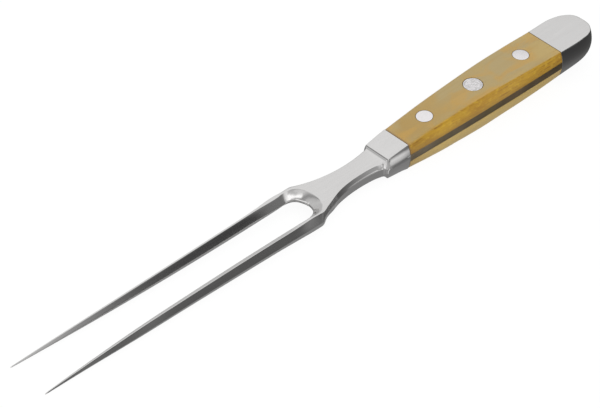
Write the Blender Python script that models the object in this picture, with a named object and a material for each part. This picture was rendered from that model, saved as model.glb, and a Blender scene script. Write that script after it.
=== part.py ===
# Two-tine meat fork: one drop-forged steel body (tines, neck, front bolster,
# full tang and butt cap), two wooden handle scales and three two-part rivets.
#
# Design frame, in millimetres: x runs from the tips (0) to the butt, y across
# the fork, z through its thickness, z = 0 at the middle of the tang. The whole
# fork hangs on one empty, which lays it down the way it rests on a table and
# puts the origin under the middle of its outline.

import math

import bmesh
import bpy
from mathutils import Matrix, Vector

MM = 0.001

# ---------------------------------------------------------------- dimensions
# tines
TINE_END = 140.0          # where the taper is complete
TINE_TAPER = 2.00         # exponent of the taper
TIP_HALF_HEIGHT = 0.22
ROOT_HALF_HEIGHT = 3.32
TIP_HALF_WIDTH = 0.17
ROOT_HALF_WIDTH = 2.25    # at the side ridges
TIP_HALF_FLAT = 0.07
ROOT_HALF_FLAT = 0.55     # half of the narrow top face
TINE_WAIST_X = 80.0       # where the two tines stand nearest
TINE_WAIST_Y = 8.65
TINE_TIP_SPREAD = 0.95
TINE_ROOT_SPREAD = 0.50
CRANK = 0.0176            # rise of the tines and neck ahead of the bolster, mm per mm

# crotch between the tines
CROTCH_X = 138.4          # where the round of the U starts
CROTCH_TOP = 8.75         # its depth along x at the top face
CROTCH_MID = 5.75         # and at the mid-plane ridge
CROTCH_POWER = 2.2

# neck
NECK_X = 168.0            # narrowest place
NECK_HALF_WIDTH = 4.25
NECK_FLARE = 0.00426
NECK_FLARE_POWER = 2.25
NECK_REAR_FLARE = 0.0075
NECK_THIN_X = 162.0
NECK_HALF_HEIGHT = 2.95
NECK_RISE = 0.45          # the neck thickens towards the bolster
NECK_RISE_X = 146.0
NECK_RISE_LENGTH = 14.0
NECK_RIDGE = 0.15         # side ridge left by the forging dies

# handle
BOLSTER_X = 180.7         # front face of the bolster
SCALE_FRONT_X = 192.0
SCALE_REAR_X = 277.0
CAP_START_X = 283.0       # where the rounding of the butt starts
CAP_TOP_LENGTH = 16.7     # length of the rounding at the top face
CAP_MID_LENGTH = 17.1     # and at the mid-plane
CAP_POWER = 2.9           # fullness of the round, 2 being an ellipse
CAP_FALL = 0.0365         # slope of the top of the cap
FRONT_HALF_FLAT = 6.10    # half of the flat top, at the bolster
REAR_HALF_FLAT = 8.75     # and at the butt
FRONT_HALF_BELLY = 7.26   # half width at the tang, at the bolster
BELLY_GROWTH = 3.0
SWELL_X = 230.0           # thickest place
SWELL_HALF = 7.90
SWELL_FRONT = 0.00127
SWELL_REAR = 0.00205
SWELL_REAR_POWER = 1.76
TANG_HALF = 1.65
REST_FRONT_X = 201.0      # flat on the underside that the fork lies on
REST_REAR_X = 223.0

# rivets: x, head radius
RIVETS = {"front": (207.7, 3.40), "middle": (235.25, 4.05), "rear": (263.05, 3.40)}
HEAD_DEPTH = 3.0
TUBE_OUTER = 2.40
TUBE_INNER = 1.55
PIN_RADIUS = 1.25
TUBE_END_Z = -2.6
PIN_END_Z = 2.0
HEAD_RECESS = 0.05

GAP = 0.30                # clearance that touching pieces keep
SCALE_STATIONS = (REST_FRONT_X, REST_REAR_X, 230.5, 240.0, 249.5, 258.0, 268.0)
SIDE_STEPS = (1.0, 0.8, 0.55, 0.28, 0.0)   # shares of the half thickness, top edge to mid-plane


# ------------------------------------------------------------------ formulas
def ease(u):
    u = min(1.0, max(0.0, u))
    return u * u * (3.0 - 2.0 * u)


def taper(x):
    return 1.0 - max(0.0, 1.0 - x / TINE_END) ** TINE_TAPER


def tine_centre(x):
    if x < TINE_WAIST_X:
        return TINE_WAIST_Y + TINE_TIP_SPREAD * ((TINE_WAIST_X - x) / TINE_WAIST_X) ** 2
    return TINE_WAIST_Y + TINE_ROOT_SPREAD * ((x - TINE_WAIST_X) / 60.0) ** 2


def tine_flat(x):
    return TIP_HALF_FLAT + (ROOT_HALF_FLAT - TIP_HALF_FLAT) * taper(x) ** 0.55


def tine_ridge(x):
    return TIP_HALF_WIDTH + (ROOT_HALF_WIDTH - TIP_HALF_WIDTH) * taper(x) ** 0.9


def outer_top(x):
    return tine_centre(x) + tine_flat(x) + 0.5 * ease((x - 126.0) / 14.0)


def inner_top(x):
    return tine_centre(x) - tine_flat(x)


def outer_ridge(x):
    return tine_centre(x) + tine_ridge(x)


def inner_ridge(x):
    return tine_centre(x) - tine_ridge(x) - 0.65 * ease((x - 120.0) / 18.0)


def neck_side(x):
    """Half width of the neck, flaring to the tines one way and to the bolster the other."""
    if x < NECK_X:
        return NECK_HALF_WIDTH + NECK_FLARE * (NECK_X - x) ** NECK_FLARE_POWER
    return NECK_HALF_WIDTH + NECK_REAR_FLARE * (x - NECK_X) ** 2


def front_half_height(x):
    """Half thickness of the tines and neck."""
    tine = TIP_HALF_HEIGHT + (ROOT_HALF_HEIGHT - TIP_HALF_HEIGHT) * taper(x)
    neck = NECK_HALF_HEIGHT + 0.0006 * (x - NECK_THIN_X) ** 2
    neck += NECK_RISE * ease((x - NECK_RISE_X) / NECK_RISE_LENGTH)
    u = ease((x - 132.0) / 12.0)
    return tine * (1.0 - u) + neck * u


def handle_half_flat(x):
    return FRONT_HALF_FLAT + (REAR_HALF_FLAT - FRONT_HALF_FLAT) * ease((x - 180.0) / 92.0)


def handle_half_belly(x):
    u = min(1.0, max(0.0, (x - 181.4) / 118.6))
    return FRONT_HALF_BELLY + BELLY_GROWTH * (1.0 - (1.0 - u) ** 2.2)


def handle_half_height(x):
    if x < SWELL_X:
        return SWELL_HALF - SWELL_FRONT * (SWELL_X - x) ** 2
    along = min(x, SCALE_REAR_X) - SWELL_X
    fall = CAP_FALL * max(0.0, x - SCALE_REAR_X)
    return SWELL_HALF - SWELL_REAR * along ** SWELL_REAR_POWER - fall


def handle_side(x, share):
    """Half width of the handle at a share of its half thickness."""
    flat, belly = handle_half_flat(x), handle_half_belly(x)
    return belly - (belly - flat) * share * share


def meeting(side, start, stop):
    """The x where the edge of a tine runs into the flare of the neck."""
    for _ in range(60):
        middle = 0.5 * (start + stop)
        if side(middle) < neck_side(middle):
            start = middle
        else:
            stop = middle
    return 0.5 * (start + stop)


TOP_CORNER_X = meeting(outer_top, 120.0, 160.0)
RIDGE_CORNER_X = meeting(outer_ridge, 120.0, 160.0)


def crank(x):
    return CRANK * max(0.0, BOLSTER_X - x)


# ------------------------------------------------------------------- helpers
for old in list(bpy.data.objects):
    bpy.data.objects.remove(old, do_unlink=True)

fork = bpy.data.collections.new("meat_fork")
cutters = bpy.data.collections.new("meat_fork_cutters")
bpy.context.scene.collection.children.link(fork)
bpy.context.scene.collection.children.link(cutters)
cutters.hide_render = True

# the line under the belly flat tells how the fork lies
rest_slope = (handle_half_height(REST_REAR_X) - handle_half_height(REST_FRONT_X)) / (
    REST_REAR_X - REST_FRONT_X
)
REST_ANGLE = math.atan(rest_slope)

frame = bpy.data.objects.new("meat_fork_frame", None)
fork.objects.link(frame)


def material(name, colour, metallic, roughness):
    made = bpy.data.materials.new(name)
    made.use_nodes = True
    shader = made.node_tree.nodes["Principled BSDF"]
    shader.inputs["Base Color"].default_value = (*colour, 1.0)
    shader.inputs["Metallic"].default_value = metallic
    shader.inputs["Roughness"].default_value = roughness
    made.diffuse_color = (*colour, 1.0)
    return made


steel = material("forged_steel", (0.60, 0.60, 0.58), 1.0, 0.24)
wood = material("pale_wood", (0.46, 0.30, 0.11), 0.0, 0.42)
nickel = material("rivet_steel", (0.70, 0.69, 0.68), 1.0, 0.22)


def add_object(name, bm, finish, collection=fork):
    bmesh.ops.remove_doubles(bm, verts=bm.verts, dist=1e-7)
    bmesh.ops.dissolve_degenerate(bm, dist=1e-8, edges=bm.edges)
    bmesh.ops.recalc_face_normals(bm, faces=bm.faces)
    mesh = bpy.data.meshes.new(name)
    bm.to_mesh(mesh)
    bm.free()
    obj = bpy.data.objects.new(name, mesh)
    collection.objects.link(obj)
    obj.parent = frame
    if finish is not None:
        mesh.materials.append(finish)
        mesh.shade_smooth()
        mesh.set_sharp_from_angle(angle=math.radians(28))
    return obj


def point(bm, x, y, z):
    return bm.verts.new((x * MM, y * MM, z * MM))


def skin(bm, rows):
    """Quads between neighbouring rows of vertices."""
    for first, second in zip(rows, rows[1:]):
        for i in range(len(first) - 1):
            corners = [first[i], first[i + 1], second[i + 1], second[i]]
            bm.faces.new(corners)


def cutter(name, x, radius, low, high, sides):
    bm = bmesh.new()
    bmesh.ops.create_cone(
        bm, cap_ends=True, segments=sides, radius1=radius * MM, radius2=radius * MM,
        depth=(high - low) * MM,
        matrix=Matrix.Translation((x * MM, 0.0, 0.5 * (low + high) * MM)),
    )
    obj = add_object(name, bm, None, cutters)
    obj.hide_render = True
    obj.display_type = "WIRE"
    return obj


def cut(obj, tool):
    step = obj.modifiers.new("cut_" + tool.name, "BOOLEAN")
    step.operation = "DIFFERENCE"
    step.solver = "EXACT"
    step.object = tool


# ------------------------------------------------------------------- forging
# One quarter of the forging is skinned from the inner edge of a tine, over the
# narrow top face, to the outer ridge; it is then mirrored across both planes.
def front_stations():
    """Pairs of (inner, outer) places from the tip to the bolster.

    inner is ("tine", x), ("round", angle) or ("axis", x); outer is the share of
    the way along the outer edge, before the shoulder (x) and after it.
    """
    stations = []
    for i in range(19):
        share = (i / 18.0) ** 1.25
        stations.append((("tine", share * CROTCH_X), ("tine", share)))
    turns = 9
    for i in range(1, turns + 1):
        share = i / turns
        stations.append((("round", share * math.pi / 2), ("neck", 0.32 * share)))
    steps = 8
    start = CROTCH_X + CROTCH_TOP
    for i in range(1, steps + 1):
        share = i / steps
        stations.append(
            (("axis", start + (178.8 - start) * share), ("neck", 0.32 + 0.68 * share))
        )
    return stations


def round_place(angle, depth, half):
    power = 2.0 / CROTCH_POWER
    along = max(0.0, math.sin(angle)) ** power
    across = max(0.0, math.cos(angle)) ** power
    return CROTCH_X + depth * along, half * across


def front_row(bm, inner, outer):
    kind, value = inner
    if kind == "tine":
        ti = (value, inner_top(value))
        mi = (value, inner_ridge(value))
    elif kind == "round":
        ti = round_place(value, CROTCH_TOP, inner_top(CROTCH_X))
        mi = round_place(value, CROTCH_MID, inner_ridge(CROTCH_X))
    else:
        ti = mi = (value, 0.0)
    place, share = outer
    if place == "tine":
        to_x, mo_x = share * TOP_CORNER_X, share * RIDGE_CORNER_X
        to, mo = (to_x, outer_top(to_x)), (mo_x, outer_ridge(mo_x))
    else:
        to_x = TOP_CORNER_X + (178.8 - TOP_CORNER_X) * share
        mo_x = RIDGE_CORNER_X + (178.8 - RIDGE_CORNER_X) * share
        ridge = NECK_RIDGE * ease(share / 0.25)
        to, mo = (to_x, neck_side(to_x)), (mo_x, neck_side(mo_x) + ridge)
    row = []
    if kind != "axis":
        row += [
            point(bm, mi[0], mi[1], 0.0),
            point(bm, *lean(mi, ti, 0.5), 0.5 * front_half_height(ti[0])),
        ]
    row.append(point(bm, *ti, front_half_height(ti[0])))
    row.append(point(bm, *to, front_half_height(to[0])))
    row.append(point(bm, *lean(to, mo, 0.5), 0.5 * front_half_height(to[0])))
    row.append(point(bm, *mo, 0.0))
    return row


def lean(a, b, share):
    return a[0] + (b[0] - a[0]) * share, a[1] + (b[1] - a[1]) * share


def handle_row(bm, x):
    """Top middle, top edge, half-way down the side and side ridge of the handle at x."""
    half = handle_half_height(x)
    row = [point(bm, x, 0.0, half)]
    for share in (1.0, 0.5, 0.0):
        row.append(point(bm, x, handle_side(x, share), share * half))
    return row


def tang_row(bm, x):
    share = TANG_HALF / handle_half_height(x)
    edge = handle_side(x, share)
    flat = handle_half_flat(x)
    return [
        point(bm, x, 0.0, TANG_HALF),
        point(bm, x, flat, TANG_HALF),
        point(bm, x, edge, TANG_HALF),
        point(bm, x, handle_side(x, 0.0), 0.0),
    ]


def cap_row(bm, angle):
    along = max(0.0, math.sin(angle)) ** (2.0 / CAP_POWER)
    across = max(0.0, math.cos(angle)) ** (2.0 / CAP_POWER)
    top_x = CAP_START_X + CAP_TOP_LENGTH * along
    half = handle_half_height(top_x)
    row = [point(bm, top_x, 0.0, half)]
    for share in (1.0, 0.5, 0.0):
        reach = CAP_MID_LENGTH - (CAP_MID_LENGTH - CAP_TOP_LENGTH) * share * share
        row.append(
            point(
                bm,
                CAP_START_X + reach * along,
                handle_side(CAP_START_X, share) * across,
                share * half,
            )
        )
    return row


def forging():
    bm = bmesh.new()
    rows = [front_row(bm, inner, outer) for inner, outer in front_stations()]
    bm.faces.new(rows[0][::-1])                       # blunt end of the tip
    last_round = max(i for i, row in enumerate(rows) if len(row) == 6)
    skin(bm, rows[: last_round + 1])
    rear = [rows[last_round][2:]] + rows[last_round + 1:]
    # bolster: a short concave step out of the neck
    neck_x = 178.8
    for share, lift in ((0.55, 0.16), (0.85, 0.5), (1.0, 0.86)):
        x = neck_x + (BOLSTER_X - neck_x) * share
        half = front_half_height(neck_x)
        half += (handle_half_height(BOLSTER_X) - half) * lift
        row = [point(bm, x, 0.0, half)]
        for part in (1.0, 0.5, 0.0):
            narrow = neck_side(neck_x) + (NECK_RIDGE if part == 0.0 else 0.0)
            wide = handle_side(BOLSTER_X, part)
            row.append(point(bm, x, narrow + (wide - narrow) * lift, part * half))
        rear.append(row)
    for x in (BOLSTER_X + 0.35, 186.4, SCALE_FRONT_X):
        rear.append(handle_row(bm, x))
    for i in range(9):
        rear.append(tang_row(bm, SCALE_FRONT_X + (SCALE_REAR_X - SCALE_FRONT_X) * i / 8.0))
    rear.append(handle_row(bm, SCALE_REAR_X))
    for i in range(13):
        rear.append(cap_row(bm, i / 12.0 * math.pi / 2))
    skin(bm, rear)
    bmesh.ops.remove_doubles(bm, verts=bm.verts, dist=1e-7)
    bmesh.ops.dissolve_degenerate(bm, dist=1e-8, edges=bm.edges)
    for axis in ("Z", "Y"):
        bmesh.ops.mirror(
            bm, geom=bm.verts[:] + bm.edges[:] + bm.faces[:], axis=axis, merge_dist=1e-6
        )
        # faces that lie in the mirror plane would be inside the body
        number = {"Y": 1, "Z": 2}[axis]
        flat = [f for f in bm.faces if all(abs(v.co[number]) < 1e-7 for v in f.verts)]
        bmesh.ops.delete(bm, geom=flat, context="FACES")
    for vertex in bm.verts:
        vertex.co.z += crank(vertex.co.x / MM) * MM
    body = add_object("fork_forging", bm, steel)
    for name, (x, _) in RIVETS.items():
        cut(body, cutter("tang_hole_" + name, x, TUBE_OUTER + GAP, -4.0, 4.0, 24))
    return body


# -------------------------------------------------------------------- scales
def scale_half_height(x):
    """Half thickness of the handle along the straight runs between the stations of a scale."""
    stations = [SCALE_FRONT_X + GAP, 196.0, *SCALE_STATIONS, SCALE_REAR_X - GAP]
    for a, b in zip(stations, stations[1:]):
        if x <= b:
            u = (x - a) / (b - a)
            return handle_half_height(a) * (1.0 - u) + handle_half_height(b) * u
    return handle_half_height(x)


def scale(name, side):
    """One wooden scale; side is +1 above the tang and -1 below it."""
    bm = bmesh.new()
    rows = []
    for x in (SCALE_FRONT_X + GAP, 196.0, *SCALE_STATIONS, SCALE_REAR_X - GAP):
        half = handle_half_height(x)
        low = TANG_HALF + GAP
        shares = [s for s in SIDE_STEPS if s * half > low + 0.4] + [low / half]
        profile = [(handle_side(x, s), s * half) for s in shares]
        loop = [(-y, z) for y, z in reversed(profile)] + profile
        rows.append([point(bm, x, y, side * z) for y, z in loop])
    count = len(rows[0])
    for first, second in zip(rows, rows[1:]):
        for i in range(count):
            j = (i + 1) % count
            bm.faces.new([first[i], first[j], second[j], second[i]])
    bm.faces.new(rows[0][::-1])
    bm.faces.new(rows[-1])
    obj = add_object(name, bm, wood)
    for key, (x, radius) in RIVETS.items():
        seat = scale_half_height(x) - HEAD_DEPTH - GAP
        low, high = sorted((side * seat, side * 12.0))
        cut(obj, cutter(f"{name}_seat_{key}", x, radius + GAP, low, high, 32))
        low, high = sorted((side * 0.5, side * (seat + 1.0)))
        cut(obj, cutter(f"{name}_bore_{key}", x, TUBE_OUTER + GAP, low, high, 24))
    return obj


# -------------------------------------------------------------------- rivets
def turned(name, x, profile, sides):
    """A turned piece from a profile of (radius, z), run from the axis to the axis."""
    bm = bmesh.new()
    outline = [point(bm, x + r, 0.0, z) for r, z in profile]
    edges = [bm.edges.new(pair) for pair in zip(outline, outline[1:])]
    bmesh.ops.spin(
        bm, geom=outline + edges, cent=(x * MM, 0.0, 0.0), axis=(0.0, 0.0, 1.0),
        angle=2.0 * math.pi, steps=sides, use_merge=True,
    )
    bmesh.ops.remove_doubles(bm, verts=bm.verts, dist=1e-6)
    return bm


def slope_head(bm, side):
    """Brings the outer face of a head flush with the run of the scale under it."""
    top = max(side * v.co.z for v in bm.verts)
    for v in bm.verts:
        if side * v.co.z > top - 0.02 * MM:
            v.co.z = side * (scale_half_height(v.co.x / MM) - HEAD_RECESS) * MM


def rivet(key, x, radius):
    top = scale_half_height(x) - HEAD_RECESS
    under = scale_half_height(x) - HEAD_DEPTH
    tube = turned(
        key, x,
        [(0.0, top), (radius, top), (radius, under), (TUBE_OUTER, under),
         (TUBE_OUTER, TUBE_END_Z), (TUBE_INNER, TUBE_END_Z), (TUBE_INNER, PIN_END_Z + 0.6),
         (0.0, PIN_END_Z + 0.6)],
        32,
    )
    slope_head(tube, 1.0)
    pin = turned(
        key, x,
        [(0.0, PIN_END_Z), (PIN_RADIUS, PIN_END_Z), (PIN_RADIUS, -under), (radius, -under),
         (radius, -top), (0.0, -top)],
        32,
    )
    slope_head(pin, -1.0)
    return (
        add_object(f"{key}_rivet_tube", tube, nickel),
        add_object(f"{key}_rivet_pin", pin, nickel),
    )


forging()
scale("upper_scale", 1.0)
scale("lower_scale", -1.0)
for rivet_key, (rivet_x, rivet_radius) in RIVETS.items():
    rivet(rivet_key, rivet_x, rivet_radius)

# ------------------------------------------------------------ lay it to rest
# Turned so that the belly flat is level, then set down on z = 0 with the
# middle of its length at x = 0.
turn = Matrix.Rotation(-REST_ANGLE, 3, "Y")
rest_point = turn @ Vector((REST_FRONT_X, 0.0, -handle_half_height(REST_FRONT_X)))
ends = [
    (turn @ Vector((x, 0.0, z))).x
    for x, z in (
        (0.0, crank(0.0) + TIP_HALF_HEIGHT),
        (0.0, crank(0.0) - TIP_HALF_HEIGHT),
        (CAP_START_X + CAP_MID_LENGTH, 0.0),
    )
]
frame.rotation_euler = (0.0, -REST_ANGLE, 0.0)
frame.location = (-0.5 * (min(ends) + max(ends)) * MM, 0.0, -rest_point.z * MM)
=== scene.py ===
import math

import bmesh
import bpy
from mathutils import Matrix, Vector


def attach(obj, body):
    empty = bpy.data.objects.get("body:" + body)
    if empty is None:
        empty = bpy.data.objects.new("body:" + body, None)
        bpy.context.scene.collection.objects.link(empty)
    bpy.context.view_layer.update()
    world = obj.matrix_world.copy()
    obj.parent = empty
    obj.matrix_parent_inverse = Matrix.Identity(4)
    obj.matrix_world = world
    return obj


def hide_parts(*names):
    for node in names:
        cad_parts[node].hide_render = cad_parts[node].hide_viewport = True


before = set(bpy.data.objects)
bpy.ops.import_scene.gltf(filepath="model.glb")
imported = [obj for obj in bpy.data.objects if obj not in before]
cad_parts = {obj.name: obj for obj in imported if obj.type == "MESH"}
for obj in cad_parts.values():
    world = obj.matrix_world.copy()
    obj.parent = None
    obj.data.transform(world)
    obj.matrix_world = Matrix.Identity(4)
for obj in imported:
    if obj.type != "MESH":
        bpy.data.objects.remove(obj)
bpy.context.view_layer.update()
MM = 0.001

# ------------------------------------------------------------------ dimensions
# millimetres, in the fork's own frame: x from the tips, z = 0 mid tang
TINE_END, TINE_TAPER = 140.0, 2.00
TIP_HALF_HEIGHT, ROOT_HALF_HEIGHT = 0.27, 3.32
TIP_HALF_WIDTH, ROOT_HALF_WIDTH = 0.22, 2.25
TIP_HALF_FLAT, ROOT_HALF_FLAT = 0.06, 0.55
TINE_WAIST_X, TINE_WAIST_Y = 80.0, 8.65
TINE_TIP_SPREAD, TINE_ROOT_SPREAD = 0.95, 0.50
CRANK = 0.0176
CROTCH_X, CROTCH_TOP, CROTCH_POWER = 139.1, 7.90, 2.20          # round of the U at the top face
CROTCH_MID_X, CROTCH_MID, CROTCH_MID_POWER = 137.6, 5.80, 2.20  # and at the ridge
CROTCH_LAND, CROTCH_LIP, CROTCH_FULL = 0.60, 0.62, 0.05
NEAR_LAND, FAR_LAND = (1.40, 1.40), (0.35, 0.62)                # share of the top land, outer and inner
LAND_LEAN, RIDGE_SWELL, DEPTH_SWELL, TIP_DROP = 0.13, 0.36, 0.17, 0.30
FAR_RIDGE = 0.14
GRIND_FADE, GRIND_STOP = 121.0, 137.4
NECK_X, NECK_HALF_WIDTH = 168.0, 4.25
NECK_FLARE, NECK_FLARE_POWER, NECK_REAR_FLARE = 0.00426, 2.25, 0.0075
NECK_THIN_X, NECK_HALF_HEIGHT = 162.0, 2.95
NECK_RISE, NECK_RISE_X, NECK_RISE_LENGTH = 0.45, 146.0, 14.0
RIDGE_CLIMB, RIDGE_TURN, RIDGE_SOFT = 0.70, 0.14, 0.12
BOLSTER_LEAN = 0.60
NECK_END_X = 178.75
NECK_BULGE = 0.38
BOLSTER_X, SCALE_FRONT_X, SCALE_REAR_X = 180.7, 192.0, 277.0
CAP_START_X, CAP_TOP_LENGTH, CAP_MID_LENGTH, CAP_POWER = 283.0, 16.7, 17.1, 2.9
CAP_FALL = 0.0365
FRONT_HALF_FLAT, REAR_HALF_FLAT = 6.10, 8.75
FRONT_HALF_BELLY, BELLY_GROWTH = 7.26, 3.0
SWELL_X, SWELL_HALF, SWELL_FRONT = 230.0, 7.90, 0.00127
SWELL_REAR, SWELL_REAR_POWER = 0.00205, 1.76
TANG_HALF = 1.65
REST_FRONT_X, REST_REAR_X = 201.0, 223.0
RIVETS = {"front": (207.7, 3.40), "middle": (235.25, 4.05), "rear": (263.05, 3.40)}
RIVET_SET = {"front": (0.27, 0.47), "middle": (0.09, 0.28), "rear": (0.34, 0.57)}  # as drilled
# how far the far upper and the near lower side of the handle stand out, along it
FAR_SPREAD = (
    (181.0, 0.0), (190.0, 0.40), (207.0, 0.36), (231.0, 0.08), (247.0, 0.20), (260.0, 0.14), (272.0, 0.17),
    (279.0, 0.30), (288.0, 0.55), (293.0, 0.35), (297.0, 0.0),
)
NEAR_SPREAD = ((188.5, 0.0), (192.5, 0.36), (211.0, 0.66), (222.0, 0.36), (231.0, 0.32), (246.0, 0.0))
HEAD_DEPTH, TUBE_OUTER, TUBE_INNER, PIN_RADIUS = 3.0, 2.40, 1.55, 1.25
TUBE_END_Z, PIN_END_Z = -2.6, 2.0
JOINT = 0.15               # visible joint between wood and steel


# -------------------------------------------------------------------- formulas
def ease(u):
    u = min(1.0, max(0.0, u))
    return u * u * (3.0 - 2.0 * u)


def taper(x):
    return 1.0 - max(0.0, 1.0 - x / TINE_END) ** TINE_TAPER


def tip_round(x):
    u = min(1.0, max(0.0, x / 0.45))
    return 0.45 + 0.55 * math.sqrt(1.0 - (1.0 - u) ** 2)


def tine_centre(x):
    if x < TINE_WAIST_X:
        return TINE_WAIST_Y + TINE_TIP_SPREAD * ((TINE_WAIST_X - x) / TINE_WAIST_X) ** 2
    return TINE_WAIST_Y + TINE_ROOT_SPREAD * ((x - TINE_WAIST_X) / 60.0) ** 2


def tine_flat(x):
    return tip_round(x) * (
        TIP_HALF_FLAT + (ROOT_HALF_FLAT - TIP_HALF_FLAT) * taper(x) ** 0.75
    )


def tine_ridge(x):
    return tip_round(x) * (
        TIP_HALF_WIDTH + (ROOT_HALF_WIDTH - TIP_HALF_WIDTH) * taper(x) ** 0.9
    )


def outer_top(x):
    return tine_centre(x) + tine_flat(x) + 0.45 * ease((x - 117.0) / 23.0)


def inner_top(x):
    return tine_centre(x) - tine_flat(x) + 0.38 * ease((x - 135.4) / 3.7)


def outer_ridge(x):
    return tine_centre(x) + tine_ridge(x)


def inner_ridge(x):
    start = min(x, CROTCH_MID_X)
    y = tine_centre(start) - tine_ridge(start) - 0.65 * ease((start - 120.0) / 18.0)
    u = min(1.0, (x - start) / CROTCH_MID)
    return y * (1.0 - u ** CROTCH_MID_POWER) ** (1.0 / CROTCH_MID_POWER)


def neck_side(x):
    if x < NECK_X:
        return NECK_HALF_WIDTH + NECK_FLARE * (NECK_X - x) ** NECK_FLARE_POWER
    return NECK_HALF_WIDTH + NECK_REAR_FLARE * (x - NECK_X) ** 2


def front_half_height(x):
    tine = TIP_HALF_HEIGHT + (ROOT_HALF_HEIGHT - TIP_HALF_HEIGHT) * taper(x)
    neck = NECK_HALF_HEIGHT + 0.0006 * (x - NECK_THIN_X) ** 2
    neck += NECK_RISE * ease((x - NECK_RISE_X) / NECK_RISE_LENGTH)
    u = ease((x - 132.0) / 12.0)
    return tip_round(x) * (tine * (1.0 - u) + neck * u)


def handle_half_flat(x):
    return FRONT_HALF_FLAT + (REAR_HALF_FLAT - FRONT_HALF_FLAT) * ease((x - 180.0) / 92.0)


def handle_half_belly(x):
    u = min(1.0, max(0.0, (x - 181.4) / 118.6))
    return FRONT_HALF_BELLY + BELLY_GROWTH * (1.0 - (1.0 - u) ** 2.2)


def handle_half_height(x):
    if x < SWELL_X:
        return SWELL_HALF - SWELL_FRONT * (SWELL_X - x) ** 2
    along = min(x, SCALE_REAR_X) - SWELL_X
    fall = CAP_FALL * max(0.0, x - SCALE_REAR_X)
    return SWELL_HALF - SWELL_REAR * along ** SWELL_REAR_POWER - fall


def belly_half_height(x):
    """The lower scale has a level flat that the fork lies on."""
    if REST_FRONT_X < x < REST_REAR_X:
        u = (x - REST_FRONT_X) / (REST_REAR_X - REST_FRONT_X)
        return handle_half_height(REST_FRONT_X) * (1.0 - u) + handle_half_height(REST_REAR_X) * u
    return handle_half_height(x)


def handle_side(x, share):
    flat, belly = handle_half_flat(x), handle_half_belly(x)
    return belly - (belly - flat) * share * share


def meeting(side, start, stop):
    for _ in range(60):
        middle = 0.5 * (start + stop)
        if side(middle) < neck_side(middle):
            start = middle
        else:
            stop = middle
    return 0.5 * (start + stop)


TOP_CORNER_X = meeting(outer_top, 120.0, 160.0)
RIDGE_CORNER_X = meeting(outer_ridge, 120.0, 160.0)


def crank(x):
    return CRANK * max(0.0, BOLSTER_X - x)


def grind(p):
    """The tines are ground by hand: one keeps a broader top land than the other."""
    if p.x > GRIND_STOP:
        return
    near = p.y < 0.0
    fade = 1.0 - ease((p.x - GRIND_FADE) / (GRIND_STOP - GRIND_FADE))
    centre, flat, ridge = tine_centre(p.x), tine_flat(p.x), tine_ridge(p.x)
    half = front_half_height(p.x)
    share = min(1.0, abs(p.z) / half)
    offset = abs(p.y) - centre
    outer, inner = NEAR_LAND if near else FAR_LAND
    if p.z > 0.0:
        part = flat * share / (ridge * (1.0 - share) + flat * share)
        offset *= 1.0 + ((outer if offset > 0.0 else inner) - 1.0) * part * fade
        if near:
            lean = LAND_LEAN * ease((share - 0.7) / 0.3) * fade
            p.z -= lean * max(0.0, outer * flat - offset)
    if not near and offset < 0.0:
        offset -= FAR_RIDGE * taper(p.x) * fade * (1.0 - share)
    if near:
        fuller = math.exp(-(((p.x - 44.0) / 21.0) ** 2))
        p.z *= 1.0 + DEPTH_SWELL * fuller
        if offset > 0.0:
            offset += RIDGE_SWELL * fuller * (1.0 - share)
    p.y = math.copysign(centre + offset, p.y)
    p.z -= TIP_DROP * max(0.0, 1.0 - p.x / 30.0) ** 2


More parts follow.
